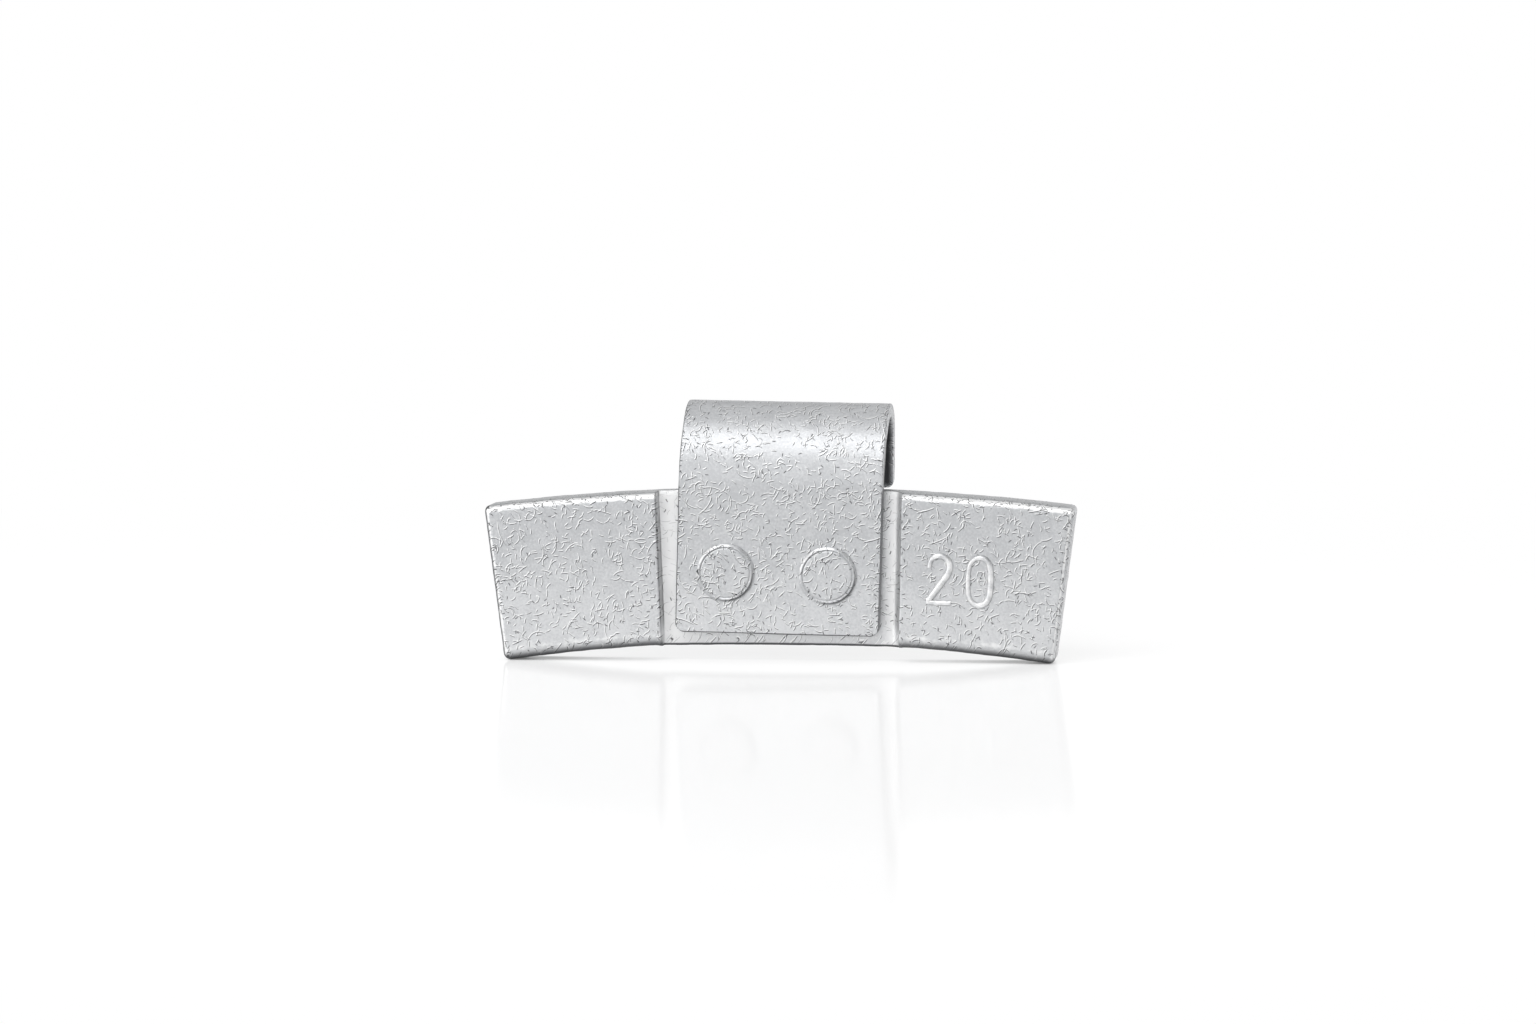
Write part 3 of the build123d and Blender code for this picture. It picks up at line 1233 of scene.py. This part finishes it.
@dataclass(frozen=True)
class CoatPattern:
    """Pattern that all the zinc coats share: curled threads with painted highlight and shade, pits, mottle,
    worn edges, painted highlight, painted shade, painted sheen and painted light from the floor.
    """

    threads: tuple[Thread, ...] = (
        Thread(spacing=2.4, reach=1.2, width=0.05, share=0.5, shift=0.0, tightest=0.9),
        Thread(spacing=1.3, reach=0.6, width=0.055, share=0.5, shift=17.0),
        Thread(spacing=0.9, reach=0.4, width=0.05, share=0.5, shift=31.0),
        Thread(spacing=0.6, reach=0.27, width=0.045, share=0.45, shift=67.0),
        Thread(spacing=0.7, reach=0.3, width=0.05, share=0.45, shift=113.0),
    )
    fleck: Thread = Thread(spacing=0.48, reach=0.2, width=0.07, share=0.0, shift=151.0)
    # Step towards the threads' painted highlight side, in millimetres
    light_side: tuple[float, float, float] = (-0.026, 0.034, 0.0)
    # Random patterns
    patches: Cloud = Cloud(0.4, 1.0, (47.0, 29.0, 0.0))
    mottle: Cloud = Cloud(0.45, 4.0, (19.0, 3.0, 7.0))
    grain: Cloud = Cloud(5.0, 3.0)
    ragged: Cloud = Cloud(1.6, 3.0, (83.0, 5.0, 41.0))
    cloud_middle: float = 0.5
    # How the marks and patterns turn into threads, tone, gloss and height
    pressed_crinkle: Ramp = Ramp(0.0, 1.0, 1.0, 0.3)
    patch_density: Ramp = Ramp(0.3, 0.7, -0.3, 0.25)
    rim_pits: Ramp = Ramp(0.25, 0.9, 0.0, 0.6)
    worn_and_lit_edge: Ramp = Ramp(0.3, 0.6)
    worn_and_lit_ragged: float = 0.7
    worn_and_lit_gloss: float = 0.1
    # Painted light from the floor: the coat is lighter towards the bottom
    painted_floor_light: Ramp = Ramp(2.0 * MM, 11.0 * MM, 0.65, 0.0)
    mottle_tone: Ramp = Ramp(0.3, 0.7, 0.0, 0.4)
    mottle_roughness: Ramp = Ramp(0.2, 0.8, 0.34, 0.48)
    grain_tone: float = 2.0
    grain_height: float = 0.8
    # Strength of the threads' painted highlight, and of their painted shade, which is deeper near the rims
    thread_light: float = 2.0
    thread_shade: Ramp = Ramp(0.0, 1.0, -1.05, -1.4)
    painted_shade_ramp: Ramp = Ramp(0.05, 0.95, 0.0, 0.95)
    pit_soil: float = 0.95
    pit_depth: float = 1.5
    dull: tuple[float, float, float, float] = (0.52, 0.53, 0.545, 1.0)
    clear: tuple[float, float, float, float] = (0.68, 0.688, 0.7, 1.0)
    # Light colour of rubbed wear, painted highlight and painted sheen
    shine: tuple[float, float, float, float] = (0.9, 0.903, 0.906, 1.0)
    # Dark colour of the painted shade, which the pits darken towards too
    painted_shade: tuple[float, float, float, float] = (0.05, 0.052, 0.056, 1.0)

    def group(self) -> ShaderNodeTree:
        """Builds the pattern.

        Returns:
            The node group, with Crinkle and Pitting as inputs.
        """
        group = bpy.data.node_groups.new("zinc_coat", "ShaderNodeTree")
        for name in ("Crinkle", "Pitting"):
            group.interface.new_socket(name=name, in_out="INPUT", socket_type="NodeSocketFloat")
        group.interface.new_socket(name="Color", in_out="OUTPUT", socket_type="NodeSocketColor")
        for name in ("Roughness", "Height"):
            group.interface.new_socket(name=name, in_out="OUTPUT", socket_type="NodeSocketFloat")
        board = Board(group)
        given = board.node("NodeGroupInput").outputs
        place = board.node("ShaderNodeTexCoord").outputs["Object"]
        flat = board.node("ShaderNodeAttribute", attribute_name=FLAT).outputs["Vector"]
        read = {}
        for mark in Mark:
            read[mark] = board.node("ShaderNodeAttribute", attribute_name=mark.value).outputs["Fac"]
        rim = read[Mark.RIM]
        # Smoothness from the press, which also lightens the colour as a painted sheen
        smooth_and_lit = read[Mark.SMOOTH_AND_LIT]

        crinkle = board.math("MULTIPLY", given["Crinkle"], board.ramp(smooth_and_lit, self.pressed_crinkle))
        dense = board.ramp(board.cloud(flat, self.patches), self.patch_density)
        lit, shaded = self.thread_sides(board, flat, crinkle, dense)
        # Painted highlight on the threads' upper left sides and painted shade on their lower right sides
        painted_emboss = board.math("SUBTRACT", lit, shaded)
        chance = board.math("ADD", given["Pitting"], board.ramp(rim, self.rim_pits))
        pit = self.fleck.ridge(board, flat, chance)
        mottle = board.cloud(place, self.mottle)
        grain = board.math("SUBTRACT", board.cloud(place, self.grain), self.cloud_middle)
        ragged = board.math("SUBTRACT", board.cloud(place, self.ragged), self.cloud_middle)
        # Rubbed wear and painted highlight, with ragged borders
        wear_and_light = board.math("ADD", read[Mark.WORN_AND_LIT], board.math("MULTIPLY", ragged, self.worn_and_lit_ragged))
        worn_and_lit = board.ramp(wear_and_light, self.worn_and_lit_edge)

        # Light from rubbed wear, painted highlight on edges and threads, and painted sheen
        light = board.math("MAXIMUM", worn_and_lit, board.math("MULTIPLY", painted_emboss, self.thread_light, clamp=True))
        light = board.math("MAXIMUM", light, smooth_and_lit)
        # Painted light from the floor, lighter towards the bottom
        level = board.node("ShaderNodeSeparateXYZ", {0: place}).outputs["Z"]
        tone = board.math("ADD", board.ramp(level, self.painted_floor_light), board.ramp(mottle, self.mottle_tone))
        tone = board.math("ADD", tone, board.math("MULTIPLY", grain, self.grain_tone), clamp=True)
        plain = board.blend(tone, self.dull, self.clear)
        bright = board.blend(light, plain, self.shine)
        shadow = board.math("MULTIPLY", painted_emboss, board.ramp(rim, self.thread_shade), clamp=True)
        # Painted shade from the marks and on the threads' lower right sides, and the pits' own darkness
        dark = board.math("MAXIMUM", board.ramp(read[Mark.PAINTED_SHADE], self.painted_shade_ramp), shadow)
        dark = board.math("MAXIMUM", dark, board.math("MULTIPLY", pit, self.pit_soil))
        color = board.blend(dark, bright, self.painted_shade)

        gloss = board.math("MULTIPLY", worn_and_lit, self.worn_and_lit_gloss)
        rough = board.math("SUBTRACT", board.ramp(mottle, self.mottle_roughness), gloss)

        height = board.math("ADD", lit, shaded)
        height = board.math("ADD", height, board.math("MULTIPLY", grain, self.grain_height))
        height = board.math("SUBTRACT", height, board.math("MULTIPLY", pit, self.pit_depth))
        board.node("NodeGroupOutput", {"Color": color, "Roughness": rough, "Height": height})
        return group

    def thread_sides(
        self, board: Board, place: NodeSocket, crinkle: NodeSocket, dense: NodeSocket
    ) -> tuple[NodeSocket, NodeSocket]:
        """Draws all the threads twice, moved a little to their upper left and to their lower right, for a
        painted highlight and painted shade on their sides.

        Args:
            board: the node tree's board.
            place: the flat pattern's socket.
            crinkle: how strong the threads are.
            dense: what is added to the share of the cells that hold a thread.

        Returns:
            The upper left sides' and the lower right sides' sockets.
        """
        away = tuple(-step for step in self.light_side)
        sides = []
        for step in (away, self.light_side):
            moved = board.shifted(place, step)
            total: Value = 0.0
            for thread in self.threads:
                total = board.math("ADD", total, thread.ridge(board, moved, dense))
            sides.append(board.math("MULTIPLY", total, crinkle))
        return sides[0], sides[1]


@dataclass(frozen=True)
class ZincCoat:
    """Silver-grey zinc-flake coat on one piece."""

    name: str
    crinkle: float = 1.0
    pitting: float = 0.08
    metallic: float = 0.65
    relief: float = 0.012 * MM

    def material(self, group: ShaderNodeTree) -> Material:
        """Makes the coat's material.

        Args:
            group: the coat's pattern.

        Returns:
            The material.
        """
        material = bpy.data.materials.new(self.name)
        material.use_nodes = True
        board = Board(material.node_tree)
        pattern = board.node("ShaderNodeGroup", node_tree=group)
        pattern.inputs["Crinkle"].default_value = self.crinkle
        pattern.inputs["Pitting"].default_value = self.pitting
        bump = board.node(
            "ShaderNodeBump", {"Strength": 1.0, "Distance": self.relief, "Height": pattern.outputs["Height"]}
        )
        shader = board.node("ShaderNodeBsdfPrincipled", {
            "Base Color": pattern.outputs["Color"],
            "Roughness": pattern.outputs["Roughness"],
            "Metallic": self.metallic,
            "Normal": bump.outputs["Normal"],
        })
        board.node("ShaderNodeOutputMaterial", {"Surface": shader.outputs["BSDF"]})
        return material


@dataclass(frozen=True)
class Softbox:
    """A rectangular soft lamp that points at the part, with its angles in degrees."""

    name: str
    azimuth: float
    elevation: float
    distance: float
    width: float
    length: float
    power: float

    def place(self, target: Vector) -> None:
        """Puts the lamp in the scene.

        Args:
            target: the point that it faces.
        """
        lamp = bpy.data.lights.new(self.name, "AREA")
        lamp.shape = "RECTANGLE"
        lamp.size = self.width
        lamp.size_y = self.length
        lamp.energy = self.power
        away = direction(math.radians(self.azimuth), math.radians(self.elevation))
        holder = bpy.data.objects.new(self.name, lamp)
        holder.location = target + away * self.distance
        holder.rotation_euler = (-away).to_track_quat("-Z", "Y").to_euler()
        bpy.context.scene.collection.objects.link(holder)


def direction(azimuth: float, elevation: float) -> Vector:
    """Gives the direction from the part to a place round it, with azimuth 0 in front."""
    flat = math.cos(elevation)
    return Vector((math.sin(azimuth) * flat, -math.cos(azimuth) * flat, math.sin(elevation)))


@dataclass(frozen=True)
class Studio:
    """White floor with a low white backdrop all round, a grey room and soft lamps."""

    floor_radius: float = 4.0
    backdrop_height: float = 1.6
    facets: int = 96
    near_radius: float = 0.05
    far_radius: float = 0.16
    floor_lift: float = 0.55
    floor_grey: float = 0.42
    gloss: float = 0.2
    gloss_roughness: float = 0.1
    shadow_reach: float = 2.5 * MM
    shadow_open: float = 0.45
    shadow_least: float = 0.2
    shadow_samples: int = 8
    room_light: float = 0.36
    lamps: tuple[Softbox, ...] = (
        Softbox("key", azimuth=-20.0, elevation=50.5, distance=0.5, width=0.46, length=0.26, power=1.15),
        Softbox("front_fill", azimuth=-4.0, elevation=14.0, distance=0.8, width=0.6, length=0.3, power=0.4),
        Softbox("top_fill", azimuth=180.0, elevation=80.0, distance=0.6, width=0.5, length=0.5, power=0.4),
        Softbox("back_fill", azimuth=180.0, elevation=45.0, distance=0.6, width=0.5, length=0.4, power=0.2),
        Softbox("left_fill", azimuth=-50.0, elevation=10.0, distance=0.5, width=0.3, length=0.2, power=0.4),
        Softbox("rim", azimuth=125.0, elevation=10.0, distance=0.5, width=0.3, length=0.2, power=0.35),
    )

    def build(self, target: Vector) -> None:
        """Sets the whole studio up.

        Args:
            target: the point that the lamps face.
        """
        mesh = bmesh.new()
        bmesh.ops.create_circle(mesh, cap_ends=True, segments=self.facets, radius=self.floor_radius)
        border = [edge for edge in mesh.edges if edge.is_boundary]
        made = bmesh.ops.extrude_edge_only(mesh, edges=border)
        raised = [item for item in made["geom"] if isinstance(item, BMVert)]
        bmesh.ops.translate(mesh, vec=(0.0, 0.0, self.backdrop_height), verts=raised)
        floor = make_piece("studio_floor", mesh)
        floor.data.materials.append(self.floor_material())
        self.light_room()
        for lamp in self.lamps:
            lamp.place(target)

    def floor_material(self) -> Material:
        """Makes the floor: white, faintly glossy near the part and plain white further off.

        Returns:
            The material.
        """
        material = bpy.data.materials.new("studio_floor")
        material.use_nodes = True
        board = Board(material.node_tree)
        path = board.node("ShaderNodeLightPath").outputs
        seen = board.math("MAXIMUM", path["Is Camera Ray"], path["Is Glossy Ray"])
        seen = board.math("MAXIMUM", seen, path["Is Transmission Ray"])
        place = board.node("ShaderNodeTexCoord").outputs["Object"]
        reach = board.node("ShaderNodeVectorMath", {0: place}, operation="LENGTH").outputs["Value"]
        far = board.math("MULTIPLY", board.ramp(reach, Ramp(self.near_radius, self.far_radius)), seen)
        grey = (self.floor_grey, self.floor_grey, self.floor_grey, 1.0)
        matt = board.node("ShaderNodeBsdfDiffuse", {"Color": grey})
        sheen = board.node("ShaderNodeBsdfGlossy", {"Color": WHITE, "Roughness": self.gloss_roughness})
        layers = {0: self.gloss, 1: matt.outputs[0], 2: sheen.outputs[0]}
        polished = board.node("ShaderNodeMixShader", layers)
        # Painted contact shadow: the floor's white glow is dimmed where the part is close
        nearby = board.node(
            "ShaderNodeAmbientOcclusion", {"Distance": self.shadow_reach}, samples=self.shadow_samples
        )
        clear = board.ramp(nearby.outputs["AO"], Ramp(0.0, self.shadow_open, self.shadow_least, 1.0))
        strength = board.math("MULTIPLY", board.math("MULTIPLY", seen, clear), self.floor_lift)
        lift = board.node("ShaderNodeEmission", {"Strength": strength})
        near = board.node("ShaderNodeAddShader", {0: polished.outputs[0], 1: lift.outputs[0]})
        white = board.node("ShaderNodeEmission", {"Strength": 1.0})
        both = board.node("ShaderNodeMixShader", {0: far, 1: near.outputs[0], 2: white.outputs[0]})
        board.node("ShaderNodeOutputMaterial", {"Surface": both.outputs[0]})
        return material

    def light_room(self) -> None:
        """Makes the world: an even soft grey light."""
        world = bpy.data.worlds.new("studio_room")
        world.use_nodes = True
        bpy.context.scene.world = world
        board = Board(world.node_tree)
        room = board.node("ShaderNodeBackground", {"Color": WHITE, "Strength": self.room_light})
        board.node("ShaderNodeOutputWorld", {"Surface": room.outputs[0]})


@dataclass(frozen=True)
class PhotoCamera:
    """Camera at the photograph's viewing angle."""

    azimuth: float = math.radians(8.1)
    elevation: float = math.radians(6.0)
    roll: float = math.radians(0.64)
    distance: float = 394.0 * MM
    focal_pixels: float = 4500.0
    image_width: float = 1536.0
    sensor_width: float = 36.0
    aim_x: float = -0.84 * MM
    aim_behind_front: float = 1.1 * MM
    aim_z: float = 13.17 * MM

    def place(self) -> None:
        """Makes the camera and gives it to the scene."""
        lens = bpy.data.cameras.new("photo_camera")
        lens.sensor_fit = "HORIZONTAL"
        lens.sensor_width = self.sensor_width
        lens.lens = self.sensor_width * self.focal_pixels / self.image_width
        back = direction(self.azimuth, self.elevation)
        level = Vector((math.cos(self.azimuth), math.sin(self.azimuth), 0.0))
        upright = back.cross(level)
        right = level * math.cos(self.roll) - upright * math.sin(self.roll)
        up = level * math.sin(self.roll) + upright * math.cos(self.roll)
        aim = Vector((self.aim_x, BODY_LOW.y + self.aim_behind_front, self.aim_z))
        pose = Matrix((right, up, back)).transposed().to_4x4()
        pose.translation = aim + back * self.distance
        camera = bpy.data.objects.new("photo_camera", lens)
        camera.matrix_world = pose
        bpy.context.scene.collection.objects.link(camera)
        bpy.context.scene.camera = camera


def main() -> None:
    """Builds the pieces, the studio and the camera."""
    logging.basicConfig(level=logging.INFO, format="%(name)s: %(message)s")
    bpy.context.scene.view_settings.view_transform = "Standard"
    studs = StudRow()
    bar = WeightBar()
    clip = StripClip()
    number = RatingNumber()
    plate_y = bar.front_y + studs.head_height
    group = CoatPattern().group()
    bar_coat = ZincCoat("bar_coat").material(group)
    clip_coat = ZincCoat("clip_coat", pitting=0.07, relief=0.01 * MM).material(group)
    number_coat = ZincCoat("number_coat", crinkle=0.2, pitting=0.0).material(group)

    bar_piece = bar.build(studs)
    bar.dress(bar_piece, bar_coat, "weight_body")
    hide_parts("weight_body")

    stud_piece = studs.build(bar.floor_y, plate_y, bar.front_y)
    studs.dress(stud_piece, bar_coat, "weight_body")

    number_piece = number.build(bar.front_y)
    number.dress(number_piece, number_coat, "weight_body")

    clip_piece = clip.build(studs, plate_y)
    clip.dress(clip_piece, clip_coat, "spring_clip")
    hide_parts("spring_clip")

    Studio().build((CAD_BOX[0] + CAD_BOX[1]) / 2)
    PhotoCamera().place()


if __name__ == "__main__":
    main()
